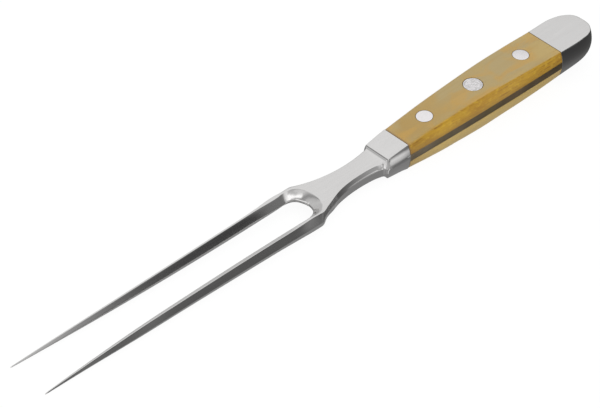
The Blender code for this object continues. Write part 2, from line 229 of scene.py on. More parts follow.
def dress(p):
    """The shoulders, neck and bolster are dressed by hand: the sides differ and the ridge climbs."""
    x = p.x
    if not 108.0 < x < 183.0:
        return
    if x > NECK_END_X:
        lean = ease((x - NECK_END_X) / 1.9) * (1.0 - ease((x - 180.9) / 2.1))
        if p.y > 0.0:
            p.x += BOLSTER_LEAN * lean * ease((p.z + 3.0) / 3.5)
        else:
            p.x += lean * (BOLSTER_LEAN * ease(p.z / 3.5) + 0.45 * ease((-2.4 - p.z) / 2.4))
        if x > BOLSTER_X:
            return
    half = front_half_height(min(x, NECK_END_X))
    share = min(1.0, max(-1.0, p.z / half))
    if p.y > 0.0:
        outer = outer_top(x) if x < TOP_CORNER_X else neck_side(x)
        reach = min(1.0, max(0.0, (p.y - outer + 2.2) / 2.2))
        pull = 0.45 * ease((x - 133.0) / 5.0) * (1.0 - ease((x - 141.0) / 9.0))
        push = 0.16 * ease((x - 112.0) / 14.0) * (1.0 - ease((x - 130.0) / 6.0)) * max(0.0, share)
        inside = 1.0 - min(1.0, max(0.0, (p.y - outer + 2.5) / 2.5))
        widen = 0.12 * ease((x - 134.0) / 4.0) * (1.0 - ease((x - 141.0) / 5.0)) * ease((p.y - 3.0) / 4.0)
        p.y += (push - pull) * reach ** 2 + widen * inside * max(0.0, share) ** 2
        slide = ease((x - 128.0) / 9.0) * (1.0 - ease((x - 139.0) / 5.0)) * inside * ease((p.y - 2.0) / 2.5)
        p.x += slide * (0.95 - 1.35 * abs(share))
        low = (1.0 - abs(share)) * ease((x - 138.5) / 2.5) * (1.0 - ease((x - 145.0) / 3.0)) * ease(p.y / 2.5)
        p.x -= 0.20 * low
        p.y -= 0.18 * low
    else:
        edge = outer_top(x) if x < TOP_CORNER_X else neck_side(x)
        rim = min(1.0, max(0.0, (-p.y - edge + 1.7) / 1.7)) * max(0.0, share)
        trim = 0.61 * min(1.0, max(0.0, (x - 112.0) / 24.6)) ** 2.3 * (1.0 - ease((x - 137.0) / 17.0))
        reach = min(1.0, -p.y / neck_side(max(x, RIDGE_CORNER_X)))
        p.y += 0.30 * ease((x - 148.0) / 8.0) * (1.0 - ease((x - 175.5) / 4.5)) * reach ** 2
        inside = 1.0 - min(1.0, max(0.0, (-p.y - outer_top(min(x, CROTCH_X)) + 3.0) / 2.4))
        narrow = 0.50 * ease((x - 134.0) / 5.0) * (1.0 - ease((x - 142.5) / 4.5)) * ease((-p.y - 1.0) / 3.5)
        p.y += narrow * inside * max(0.0, share) ** 2
        low = (1.0 - abs(share)) * ease((x - 139.0) / 3.0) * (1.0 - ease((x - 145.0) / 3.0))
        p.x += 0.20 * low * ease((6.5 + p.y) / 3.0)
        tuck = 0.62 * ease((x - 141.0) / 4.0) * (1.0 - ease((x - 146.0) / 6.0)) * ease((0.25 - share) / 0.7)
        p.y += tuck * ease((-p.y - 4.0) / 3.0)
        p.y += trim * rim
    climb = RIDGE_CLIMB * ease((x - 150.0) / 22.0) * (1.0 - ease((x - 178.0) / 2.6))
    p.z += climb * (1.0 - share * share)


def read_off(x, stops):
    """A value that follows stops of (x, value)."""
    if x <= stops[0][0]:
        return stops[0][1]
    for (x0, v0), (x1, v1) in zip(stops, stops[1:]):
        if x < x1:
            return v0 + (v1 - v0) * ease((x - x0) / (x1 - x0))
    return stops[-1][1]


def spread(p):
    """The handle is shaped by hand as well: it is not quite the same on both sides."""
    x = p.x
    if x < 181.0:
        return
    flat = handle_half_flat(min(x, CAP_START_X))
    if p.y > 0.0:
        out = read_off(x, FAR_SPREAD) * ease((p.z - TANG_HALF) / 3.0)
        p.y += out * min(1.0, p.y / flat)
    else:
        out = read_off(x, NEAR_SPREAD) * ease((-p.z - TANG_HALF) / 2.5)
        p.y -= out * min(1.0, -p.y / flat)
        corner = ease((x - CAP_START_X - 7.6) / 3.6) * ease((-p.y / flat - 0.64) / 0.18)
        corner *= 0.24 * ease((p.z / handle_half_height(x) - 0.5) / 0.5)
        p.x += corner
        p.y -= corner


# how the fork lies: its own frame (mm) to the shared frame (m)
REST_ANGLE = math.atan(
    (handle_half_height(REST_REAR_X) - handle_half_height(REST_FRONT_X))
    / (REST_REAR_X - REST_FRONT_X)
)
turn = Matrix.Rotation(-REST_ANGLE, 3, "Y")
rest_point = turn @ Vector((REST_FRONT_X, 0.0, -handle_half_height(REST_FRONT_X)))
ends = [
    (turn @ Vector(p)).x
    for p in (
        (0.0, 0.0, crank(0.0) + TIP_HALF_HEIGHT),
        (0.0, 0.0, crank(0.0) - TIP_HALF_HEIGHT),
        (CAP_START_X + CAP_MID_LENGTH, 0.0, 0.0),
    )
]
PLACE = (
    Matrix.Scale(MM, 4)
    @ Matrix.Translation((-0.5 * (min(ends) + max(ends)), 0.0, -rest_point.z))
    @ turn.to_4x4()
)


# --------------------------------------------------------------------- helpers
def bezier(a, b, c, steps):
    """Points of a rounded corner b between a and c."""
    out = []
    for i in range(steps + 1):
        t = i / steps
        out.append(a * (1 - t) ** 2 + b * (2 * t * (1 - t)) + c * t ** 2)
    return out


def toward(a, b, distance):
    d = b - a
    return a + d * min(0.48, distance / max(1e-9, d.length))


def skin(bm, rows):
    made = [[bm.verts.new(p) for p in row] for row in rows]
    for first, second in zip(made, made[1:]):
        for i in range(len(first) - 1):
            bm.faces.new([first[i], first[i + 1], second[i + 1], second[i]])
    return made


def finish_mesh(name, bm, body_material, slot, node, sharp=32.0):
    """Lays the mesh in the shared frame and shades it; the CAD node is not used here."""
    bmesh.ops.remove_doubles(bm, verts=bm.verts, dist=2e-4)
    bmesh.ops.dissolve_degenerate(bm, dist=1e-4, edges=bm.edges)
    bmesh.ops.recalc_face_normals(bm, faces=bm.faces)
    bm.transform(PLACE)
    mesh = bpy.data.meshes.new(name)
    bm.to_mesh(mesh)
    bm.free()
    obj = bpy.data.objects.new(name, mesh)
    bpy.context.scene.collection.objects.link(obj)
    mesh.materials.append(body_material)
    return obj


def settle(obj, node, sharp=32.0):
    """Applies the modifiers, then flattens the normals of the big faces."""
    mesh = obj.data
    if obj.modifiers:
        dg = bpy.context.evaluated_depsgraph_get()
        mesh = bpy.data.meshes.new_from_object(obj.evaluated_get(dg))
        obj.modifiers.clear()
        obj.data = mesh
    mesh.shade_smooth()
    mesh.set_sharp_from_angle(angle=math.radians(sharp))
    step = obj.modifiers.new("normals", "WEIGHTED_NORMAL")
    step.mode = "FACE_AREA"
    step.weight = 80
    step.keep_sharp = True
    dg = bpy.context.evaluated_depsgraph_get()
    obj.data = bpy.data.meshes.new_from_object(obj.evaluated_get(dg))
    obj.modifiers.clear()
    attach(obj, "root")
    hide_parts(node)
    return obj


def cutter(place, radius, low, high, sides):
    bm = bmesh.new()
    bmesh.ops.create_cone(
        bm, cap_ends=True, segments=sides, radius1=radius, radius2=radius, depth=high - low,
        matrix=Matrix.Translation((*place, 0.5 * (low + high))),
    )
    bm.transform(PLACE)
    mesh = bpy.data.meshes.new("hole")
    bm.to_mesh(mesh)
    bm.free()
    obj = bpy.data.objects.new("hole", mesh)
    bpy.context.scene.collection.objects.link(obj)
    return obj


def bore(obj, holes):
    """Cuts round holes (place, radius, low, high, sides) out of a piece."""
    tools = [cutter(*hole) for hole in holes]
    for tool in tools:
        step = obj.modifiers.new("bore", "BOOLEAN")
        step.operation = "DIFFERENCE"
        step.solver = "EXACT"
        step.object = tool
    dg = bpy.context.evaluated_depsgraph_get()
    mesh = bpy.data.meshes.new_from_object(obj.evaluated_get(dg))
    obj.modifiers.clear()
    obj.data = mesh
    for tool in tools:
        bpy.data.objects.remove(tool, do_unlink=True)


# ------------------------------------------------------------------- materials
class Nodes:
    """A material's node tree, with short calls for the nodes used here."""

    def __init__(self, name):
        self.made = bpy.data.materials.new(name)
        self.made.use_nodes = True
        self.tree = self.made.node_tree
        self.shader = self.tree.nodes["Principled BSDF"]

    def add(self, kind, **settings):
        node = self.tree.nodes.new(kind)
        for key, value in settings.items():
            setattr(node, key, value)
        return node

    def link(self, a, b):
        self.tree.links.new(a, b)

    def where(self, scale=(1.0, 1.0, 1.0), turned=(0.0, 0.0, 0.0)):
        place = self.add("ShaderNodeTexCoord")
        mapping = self.add("ShaderNodeMapping")
        mapping.inputs["Scale"].default_value = scale
        mapping.inputs["Rotation"].default_value = turned
        self.link(place.outputs["Object"], mapping.inputs["Vector"])
        return mapping.outputs["Vector"]

    def axis(self, name):
        split = self.add("ShaderNodeSeparateXYZ")
        self.link(self.where(), split.inputs[0])
        return split.outputs[name]

    def lift(self):
        """Height above the mid-plane of the tang, however the fork lies."""
        node = self.add("ShaderNodeVectorMath", operation="DOT_PRODUCT")
        self.link(self.where(), node.inputs[0])
        node.inputs[1].default_value = turn @ Vector((0.0, 0.0, 1.0))
        return node.outputs["Value"]

    def facing(self):
        """1 on faces that look straight up or down, 0 on upright ones."""
        split = self.add("ShaderNodeSeparateXYZ")
        self.link(self.add("ShaderNodeTexCoord").outputs["Normal"], split.inputs[0])
        return self.math("ABSOLUTE", split.outputs["Z"], 0.0)

    def noise(self, vector, scale, detail=3.0, rough=0.55, distort=0.0):
        node = self.add("ShaderNodeTexNoise")
        node.inputs["Scale"].default_value = scale
        node.inputs["Detail"].default_value = detail
        node.inputs["Roughness"].default_value = rough
        node.inputs["Distortion"].default_value = distort
        self.link(vector, node.inputs["Vector"])
        return node.outputs["Fac"]

    def span(self, value, low, high, new_low, new_high, smooth=False):
        node = self.add("ShaderNodeMapRange")
        if smooth:
            node.interpolation_type = "SMOOTHSTEP"
        node.inputs["From Min"].default_value = low
        node.inputs["From Max"].default_value = high
        node.inputs["To Min"].default_value = new_low
        node.inputs["To Max"].default_value = new_high
        self.link(value, node.inputs["Value"])
        return node.outputs["Result"]

    def math(self, operation, a, b):
        node = self.add("ShaderNodeMath", operation=operation)
        for socket, value in zip(node.inputs, (a, b)):
            if isinstance(value, (int, float)):
                socket.default_value = value
            else:
                self.link(value, socket)
        return node.outputs[0]

    def ramp(self, value, stops):
        node = self.add("ShaderNodeValToRGB")
        elements = node.color_ramp.elements
        while len(elements) < len(stops):
            elements.new(0.5)
        for element, (place, colour) in zip(elements, stops):
            element.position = place
            element.color = (*colour, 1.0)
        self.link(value, node.inputs["Fac"])
        return node.outputs["Color"]

    def mix(self, factor, a, b, how="MIX"):
        node = self.add("ShaderNodeMix", data_type="RGBA", blend_type=how)
        for name, value in (("Factor", factor), ("A", a), ("B", b)):
            socket = [s for s in node.inputs if s.name == name and s.enabled][0]
            if isinstance(value, (int, float)):
                socket.default_value = value
            elif isinstance(value, tuple):
                socket.default_value = (*value, 1.0)
            else:
                self.link(value, socket)
        return [s for s in node.outputs if s.enabled][0]

    def bump(self, height, strength, distance):
        node = self.add("ShaderNodeBump")
        node.inputs["Strength"].default_value = strength
        node.inputs["Distance"].default_value = distance
        self.link(height, node.inputs["Height"])
        self.link(node.outputs["Normal"], self.shader.inputs["Normal"])

    def set(self, **values):
        for key, value in values.items():
            name = key.replace("_", " ")
            if isinstance(value, tuple):
                value = (*value, 1.0)
            self.shader.inputs[name].default_value = value

    def drive(self, name, output):
        self.link(output, self.shader.inputs[name])


def along(x):
    """Place along the shared frame's x of a place along the fork, in metres."""
    return (PLACE @ Vector((x, 0.0, 0.0))).x


def lifted(z):
    """Value of a material's lift() at a height above the mid-plane, in millimetres."""
    return (PLACE @ Vector((0.0, 0.0, z))).dot(turn @ Vector((0.0, 0.0, 1.0)))


def steel_material():
    m = Nodes("forged_steel_satin")
    m.set(Metallic=1.0)
    fine = m.noise(m.where((70.0, 2100.0, 2100.0)), 1.0, 3.0, 0.6)
    broad = m.noise(m.where((16.0, 300.0, 300.0)), 1.0, 2.0, 0.5)
    cloud = m.noise(m.where(), 95.0, 3.0, 0.6)
    streak = m.math("ADD", m.math("MULTIPLY", fine, 0.6), m.math("MULTIPLY", broad, 0.4))
    colour = m.ramp(streak, [(0.30, (0.592, 0.585, 0.580)), (0.70, (0.638, 0.631, 0.626))])
    colour = m.mix(m.span(cloud, 0.35, 0.75, 0.0, 0.10), colour, (0.522, 0.517, 0.512))
    # the edge of the tang between the scales is stained, not polished
    x = m.axis("X")
    stain = m.math(
        "MULTIPLY",
        m.span(x, along(SCALE_FRONT_X - 0.02), along(SCALE_FRONT_X + 0.25), 0.0, 1.0, True),
        m.span(x, along(SCALE_REAR_X + 0.02), along(SCALE_REAR_X - 0.25), 0.0, 1.0, True),
    )
    tarnish = m.ramp(cloud, [(0.35, (0.263, 0.202, 0.125)), (0.65, (0.347, 0.269, 0.168))])
    # the tarnish is darker in the middle of the tang and lighter and bluer towards both ends
    tang_tone_along = m.ramp(m.span(x, along(SCALE_FRONT_X), along(SCALE_REAR_X), 0.0, 1.0), [
        (0.0, (1.14, 1.20, 1.33)), (0.10, (0.96, 1.03, 1.17)), (0.20, (0.86, 0.90, 0.90)),
        (0.36, (0.65, 0.67, 0.72)), (0.51, (0.60, 0.61, 0.52)), (0.67, (0.74, 0.69, 0.67)),
        (0.83, (1.02, 0.98, 0.98)), (1.0, (1.12, 1.14, 1.14)),
    ])
    tarnish = m.mix(1.0, tarnish, tang_tone_along, "MULTIPLY")
    colour = m.mix(stain, colour, tarnish)
    m.drive("Base Color", colour)
    gloss = m.span(streak, 0.3, 0.7, 0.085, 0.13)
    m.drive("Roughness", m.math("ADD", gloss, m.math("MULTIPLY", stain, 0.32)))
    m.bump(streak, 0.08, 0.00002)
    return m.made


def rivet_material(name, worked=False):
    m = Nodes(name)
    m.set(Metallic=1.0)
    fine = m.noise(m.where((500.0, 1500.0, 500.0)), 1.0, 2.0, 0.5)
    cloud = m.noise(m.where(), 900.0, 3.0, 0.6)
    colour = m.ramp(fine, [(0.3, (0.735, 0.715, 0.725)), (0.7, (0.765, 0.745, 0.755))])
    if worked:
        colour = m.mix(m.span(cloud, 0.40, 0.64, 0.05, 0.55, True), colour, (0.42, 0.42, 0.41))
    m.drive("Base Color", colour)
    m.drive("Roughness", m.span(fine, 0.3, 0.7, 0.16, 0.20))
    if worked:
        m.bump(cloud, 0.15, 0.00003)
    else:
        m.bump(fine, 0.03, 0.00002)
    return m.made


def wood_material(name, face, side):
    """Close-grained wood: soft clouds on the sawn face, streaks and short flakes down the sides, and painted
    shade on the sides towards the tang.
    """
    m = Nodes(name)
    x, z = m.axis("X"), m.lift()
    cloud = m.noise(m.where((46.0, 82.0, 82.0)), 1.0, 2.0, 0.5, 0.9)
    warmth = m.noise(m.where((70.0, 120.0, 120.0), (0.5, 0.3, 0.2)), 1.0, 2.0, 0.55, 0.6)
    grain = m.noise(m.where((36.0, 560.0, 560.0), (0.0, 0.0, 0.05)), 1.0, 4.0, 0.6, 0.5)
    streak = m.noise(m.where((90.0, 1150.0, 1150.0), (0.0, 0.012, 0.0)), 1.0, 3.0, 0.6, 0.5)
    flake = m.noise(m.where((430.0, 1050.0, 1050.0)), 1.0, 2.0, 0.5, 0.3)
    pores = m.noise(m.where((160.0, 2300.0, 2300.0)), 1.0, 2.0, 0.5)

    length = m.span(x, along(SCALE_FRONT_X), along(SCALE_REAR_X), 0.0, 1.0)
    sawn = m.ramp(length, [(0.0, face[0]), (0.45, face[1]), (1.0, face[2])])
    sawn = m.mix(m.span(cloud, 0.37, 0.63, 0.0, 1.0, True), sawn, face[3])
    sawn = m.mix(m.span(warmth, 0.50, 0.68, 0.0, 0.70, True), sawn, face[4])
    sawn = m.mix(m.span(grain, 0.48, 0.72, 0.0, 0.40, True), sawn, face[5])

    split = m.ramp(streak, [(0.32, side[0]), (0.46, side[1]), (0.68, side[2])])
    split = m.mix(m.span(warmth, 0.46, 0.66, 0.0, 0.60, True), split, side[3])
    split = m.mix(m.span(flake, 0.52, 0.68, 0.0, 0.65, True), split, side[4])
    split = m.mix(m.span(pores, 0.60, 0.74, 0.0, 0.50, True), split, side[0])
    # painted shade: the side darkens towards the tang; a tone along the side also darkens both ends
    low = m.span(z, lifted(4.6), lifted(1.8), 0.0, 0.62)
    split = m.mix(low, split, side[5])
    shade = m.ramp(length, [
        (0.0, (0.84, 0.81, 0.84)), (0.10, (0.93, 0.92, 0.94)), (0.20, (1.06, 1.07, 1.06)),
        (0.34, (0.99, 0.99, 0.99)), (0.60, (1.01, 1.01, 1.0)), (0.90, (1.0, 1.0, 1.0)), (1.0, (0.92, 0.93, 1.2)),
    ])
    split = m.mix(1.0, split, shade, "MULTIPLY")

    colour = m.mix(m.span(m.facing(), 0.60, 0.965, 0.0, 1.0, True), split, sawn)
    # darker where the wood meets the bolster and the cap
    rim = m.math(
        "MAXIMUM",
        m.span(x, along(SCALE_FRONT_X + 0.75), along(SCALE_FRONT_X + 0.12), 0.0, 0.62, True),
        m.span(x, along(SCALE_REAR_X - 0.55), along(SCALE_REAR_X - 0.12), 0.0, 0.50, True),
    )
    colour = m.mix(rim, colour, (0.20, 0.115, 0.040))
    m.drive("Base Color", colour)
    m.drive("Roughness", m.span(grain, 0.3, 0.7, 0.30, 0.40))
    m.set(Specular_IOR_Level=0.5, Coat_Roughness=0.30)
    m.drive("Coat Weight", m.span(m.facing(), 0.50, 0.96, 0.36, 0.70))
    m.bump(m.math("ADD", grain, m.math("MULTIPLY", pores, 0.5)), 0.10, 0.00004)
    return m.made


steel = steel_material()
rivet_plain = rivet_material("rivet_steel_plain")
rivet_centre = rivet_material("rivet_steel_turned", True)
# in each side list below, the sixth colour is painted shade for the side near the tang
wood_upper = wood_material(
    "pale_wood_upper",
    [(0.415, 0.250, 0.036), (0.468, 0.300, 0.062), (0.498, 0.345, 0.088), (0.430, 0.310, 0.105),
     (0.530, 0.295, 0.025), (0.420, 0.262, 0.048)],
    [(0.300, 0.134, 0.005), (0.484, 0.263, 0.009), (0.540, 0.310, 0.012), (0.437, 0.218, 0.007),
     (0.600, 0.372, 0.020), (0.285, 0.146, 0.010)],
)
wood_lower = wood_material(
    "pale_wood_lower",
    [(0.510, 0.368, 0.109), (0.521, 0.362, 0.105), (0.543, 0.383, 0.124), (0.482, 0.336, 0.114),
     (0.560, 0.368, 0.086), (0.448, 0.305, 0.081)],
    [(0.403, 0.263, 0.067), (0.521, 0.362, 0.105), (0.571, 0.404, 0.124), (0.493, 0.326, 0.081),
     (0.605, 0.441, 0.143), (0.470, 0.326, 0.095)],
)


# --------------------------------------------------------------------- forging
SIDE_SHARES = (0.88, 0.70, 0.52, 0.38, 0.28, 0.22, 0.17, 0.12, 0.07, 0.03, 0.0)
FILLET = 4


def round_place(angle, start, depth, half, power):
    along = max(0.0, math.sin(angle)) ** (2.0 / power)
    across = max(0.0, math.cos(angle)) ** (2.0 / power)
    return start + depth * along, half * across


# the ridge is already part of the way round where the round of the top face starts
RIDGE_LEAD = math.asin(((CROTCH_X - CROTCH_MID_X) / CROTCH_MID) ** (CROTCH_MID_POWER / 2.0))


def outer_pair(t):
    """Top edge and ridge of the outer side: t from 0 to 1 along a tine, to 2 along the neck."""
    if t <= 1.0:
        xt, xm = t * TOP_CORNER_X, t * RIDGE_CORNER_X
        return Vector((xt, outer_top(xt))), Vector((xm, outer_ridge(xm)))
    share = t - 1.0
    xt = TOP_CORNER_X + (NECK_END_X - TOP_CORNER_X) * share
    xm = RIDGE_CORNER_X + (NECK_END_X - RIDGE_CORNER_X) * share
    swell = NECK_BULGE * ease(share / 0.22)
    return Vector((xt, neck_side(xt))), Vector((xm, neck_side(xm) + swell))


# where the rounding of the shoulder starts and stops: at the top edge, and at the ridge
SHOULDER = ((0.010, 0.038), (0.0020, 0.0080))


def soft_pair(t):
    out = []
    for i, (before, after) in enumerate(SHOULDER):
        if 1.0 - before < t < 1.0 + after:
            u = (t - 1.0 + before) / (before + after)
            a, b, c = (outer_pair(place)[i] for place in (1.0 - before, 1.0, 1.0 + after))
            out.append(a * (1 - u) ** 2 + b * (2 * u * (1 - u)) + c * u ** 2)
        else:
            out.append(outer_pair(t)[i])
    return out


def turned_in(share):
    """Bulge of a side that falls straight from its top edge and turns upright near the ridge."""
    fall = (1.0 - share) / (1.0 - RIDGE_TURN)
    over = fall - 1.0 + RIDGE_SOFT
    if over > 2.0 * RIDGE_SOFT:
        fall = 1.0
    elif over > 0.0:
        fall -= over * over / (4.0 * RIDGE_SOFT)
    return fall - (1.0 - share)


def side_points(to, mo, half, setback, swell, ridge, plan_normal):
    """From the top face over the rounded top edge and down the side to the mid-plane."""
    start = Vector((to.x - plan_normal.x * setback, to.y - plan_normal.y * setback, half))
    corner = Vector((to.x, to.y, half))

    def at(share):
        p = to.lerp(mo, 1.0 - share)
        p = p + plan_normal * (swell * (turned_in(share) if ridge else share * (1.0 - share)))
        z = share * half
        p = p + plan_normal * (ridge * math.exp(-((z / 0.16) ** 2)))
        return Vector((p.x, p.y, z))

    first = max(0.66, 1.0 - setback / max(half, 1e-6))
    points = bezier(start, corner, at(first), FILLET)
    points += [at(share * first) for share in SIDE_SHARES]
    return points


def front_row(inner, t):
    """One row of the tines and neck: (wall of the gap, top face and outer side)."""
    kind, value = inner
    to, mo = soft_pair(t)
    probe = 0.004
    ahead, behind = soft_pair(t + probe)[0], soft_pair(max(0.0, t - probe))[0]
    run = ahead - behind
    normal = Vector((-run.y, run.x)).normalized()
    share = max(0.0, t - 1.0)
    swell = NECK_BULGE * ease(share / 0.22)
    ridge = 0.05 * ease(share / 0.3)
    half_out = front_half_height(to.x)
    wall = []
    if kind == "axis":
        top = Vector((value, 0.0, front_half_height(value)))
        width = 2.0
    else:
        if kind == "tine":
            ti = Vector((value, inner_top(value)))
            mi = Vector((value, inner_ridge(value)))
            land = 0.10 * tip_round(value) + (CROTCH_LAND - 0.10) * ease((value - 136.6) / 2.5)
            land *= min(1.0, value / 12.0 + 0.2)
            shaped = ease((value - 136.6) / 2.5)
            width = to.y - ti.y
            setback = min(0.26 + 0.24 * ease((value - 122.0) / 15.0), 0.34 * width)
        else:
            ti = Vector(
                round_place(value, CROTCH_X, CROTCH_TOP, inner_top(CROTCH_X), CROTCH_POWER)
            )
            later = RIDGE_LEAD + (0.5 * math.pi - RIDGE_LEAD) * value / (0.5 * math.pi)
            mi = Vector(
                round_place(later, CROTCH_MID_X, CROTCH_MID, inner_ridge(CROTCH_MID_X), CROTCH_MID_POWER)
            )
            land = CROTCH_LAND
            width = 2.0
            setback = 0.50
            shaped = 1.0
        out = (ti - mi).normalized()
        half = front_half_height(ti.x)
        a0 = Vector((mi.x, mi.y, 0.0))
        a1 = Vector((mi.x, mi.y, land))
        a2 = Vector((ti.x, ti.y, half))
        top_plan = ti + out * setback
        top = Vector((top_plan.x, top_plan.y, front_half_height(top_plan.x)))
        wall = [a0]
        lip = 0.22 + (CROTCH_LIP - 0.22) * shaped
        wall += bezier(toward(a1, a0, 0.16), a1, toward(a1, a2, lip), 4)
        low, high = wall[-1], toward(a2, a1, setback)
        rise = high - low
        full = Vector((-out.x * rise.z, -out.y * rise.z, rise.xy.length)).normalized() * CROTCH_FULL
        for part in (0.17, 0.34, 0.50, 0.67, 0.84):
            wall.append(low.lerp(high, part) + full * (4.0 * part * (1.0 - part) * shaped))
        wall += bezier(high, a2, top, FILLET)
    if t <= 1.0:
        edge = min(0.13, 0.17 * width)
    else:
        edge = 0.13 + 0.07 * ease(share / 0.1) + 0.20 * ease((share - 0.5) / 0.5)
    return wall, [top] + side_points(to, mo, half_out, edge, swell, ridge, normal)


def handle_row(x, swell_share=1.0, half=None, flat=None, belly=None, setback=0.16):
    half = handle_half_height(x) if half is None else half
    flat = handle_half_flat(x) if flat is None else flat
    belly = handle_half_belly(x) if belly is None else belly
    to, mo = Vector((x, flat)), Vector((x, belly))
    normal = Vector((0.0, 1.0))
    top = Vector((x, 0.0, half))
    return [top] + side_points(to, mo, half, setback, belly - flat, 0.0, normal)


def tang_row(x):
    template = handle_row(x)
    height = TANG_HALF
    total = handle_half_height(x)
    edge = handle_side(x, height / total) - 0.03
    row = [Vector((x, 0.0, height))]
    count = FILLET + 1
    for i in range(count):
        row.append(Vector((x, edge * (0.90 + 0.10 * i / (count - 1)), height)))
    for share in SIDE_SHARES:
        z = height * share / 0.85 if share < 0.85 else height
        z = min(z, height - 0.05)
        row.append(Vector((x, handle_side(x, z / total) - 0.03, z)))
    assert len(row) == len(template)
    return row


def cap_row(angle):
    along = max(0.0, math.sin(angle)) ** (2.0 / CAP_POWER)
    across = max(0.0, math.cos(angle)) ** (2.0 / CAP_POWER)
    flat, belly = handle_half_flat(CAP_START_X), handle_half_belly(CAP_START_X)
    to = Vector((CAP_START_X + CAP_TOP_LENGTH * along, flat * across))
    mo = Vector((CAP_START_X + CAP_MID_LENGTH * along, belly * across))
    normal = Vector(
        (along ** (CAP_POWER - 1.0) / CAP_TOP_LENGTH, across ** (CAP_POWER - 1.0) / flat)
    ).normalized()
    setback = 0.26
    half = handle_half_height(to.x)
    swell = (mo - to).dot(normal)
    side = side_points(to, mo, half, setback, swell, 0.0, normal)
    return [Vector((side[0].x, 0.0, half))] + side


def rivet_place(key):
    return RIVETS[key][0] + RIVET_SET[key][0], RIVET_SET[key][1]


def forging():
    bm = bmesh.new()
    stations = []
    count = 76
    for i in range(count):
        t = (i / count) ** 1.3 * 0.978
        stations.append((("tine", t * CROTCH_X), t))
    near = (-0.020, -0.0165, -0.013, -0.0095, -0.006, -0.0024, -0.0008, 0.0012, 0.0032, 0.006)
    for t in near:
        if t < 0.0:
            stations.append((("tine", (1.0 + t) * CROTCH_X), 1.0 + t))
        else:
            stations.append((("round", (t / 0.32) ** 0.9 * math.pi / 2), 1.0 + t))
    turns = 34
    for i in range(turns):
        t = 0.0095 + (0.32 - 0.0095) * i / (turns - 1)
        stations.append((("round", (t / 0.32) ** 0.9 * math.pi / 2), 1.0 + t))
    start = CROTCH_X + CROTCH_TOP + 0.26
    steps = 40
    for i in range(1, steps + 1):
        share = i / steps
        stations.append(
            (("axis", start + (NECK_END_X - start) * share), 1.32 + 0.68 * share)
        )
    pairs = [front_row(*station) for station in stations]
    open_rows = [wall[:-1] + rest for wall, rest in pairs if wall]
    first = skin(bm, open_rows)[0]
    bm.faces.new(first[::-1])
    rear = [rest for wall, rest in pairs if wall][-1:] + [rest for wall, rest in pairs if not wall]
    # bolster: a hollow sweep out of the neck, ending in a crisp front edge
    depth = BOLSTER_X - 0.05 - NECK_END_X
    neck_half, neck_flat = front_half_height(NECK_END_X), neck_side(NECK_END_X)
    neck_belly = neck_flat + NECK_BULGE
    lifts = [(math.sin(math.radians(a)), 1.0 - math.cos(math.radians(a))) for a in range(8, 81, 6)]
    lifts += [(1.0, 0.905), (1.0, 0.955), (1.02, 0.985), (1.07, 1.0)]
    for along, lift in lifts:
        x = NECK_END_X + depth * along
        half = neck_half + (handle_half_height(BOLSTER_X) - neck_half) * lift
        flat = neck_flat + (handle_half_flat(BOLSTER_X) - neck_flat) * lift
        belly = neck_belly + (handle_half_belly(BOLSTER_X) - neck_belly) * lift
        rear.append(
            handle_row(x, half=half, flat=flat, belly=belly, setback=0.40 - 0.23 * ease(lift / 0.75))
        )
    for x in (181.4, 183.0, 185.0, 187.0, 189.0, 190.8, SCALE_FRONT_X - 0.05):
        rear.append(handle_row(x))
    face = handle_row(SCALE_FRONT_X, half=handle_half_height(SCALE_FRONT_X) - 0.05)
    rear.append([Vector((p.x, p.y - (0.05 if p.y > 0.1 else 0.0), p.z)) for p in face])
    spans = 30
    for i in range(spans + 1):
        rear.append(tang_row(SCALE_FRONT_X + (SCALE_REAR_X - SCALE_FRONT_X) * i / spans))
    face = handle_row(SCALE_REAR_X, half=handle_half_height(SCALE_REAR_X) - 0.05)
    rear.append([Vector((p.x, p.y - (0.05 if p.y > 0.1 else 0.0), p.z)) for p in face])
    for x in (SCALE_REAR_X + 0.05, 278.5, 280.0, 281.5):
        rear.append(handle_row(x, setback=0.26))
    turns = 40
    for i in range(turns + 1):
        rear.append(cap_row(i / turns * math.pi / 2))
    skin(bm, rear)
    bmesh.ops.remove_doubles(bm, verts=bm.verts, dist=1e-4)
    for axis in ("Z", "Y"):
        bmesh.ops.mirror(
            bm, geom=bm.verts[:] + bm.edges[:] + bm.faces[:], axis=axis, merge_dist=5e-4
        )
        number = {"Y": 1, "Z": 2}[axis]
        flat = [f for f in bm.faces if all(abs(v.co[number]) < 1e-5 for v in f.verts)]
        bmesh.ops.delete(bm, geom=flat, context="FACES")
    for vertex in bm.verts:
        grind(vertex.co)
        dress(vertex.co)
        spread(vertex.co)
        vertex.co.z += crank(vertex.co.x)
    obj = finish_mesh("forged_body", bm, steel, "forged_steel", "fork_forging")
    bore(obj, [(rivet_place(key), TUBE_OUTER + 0.1, -4.0, 4.0, 32) for key in RIVETS])
    return settle(obj, "fork_forging", 34.0)


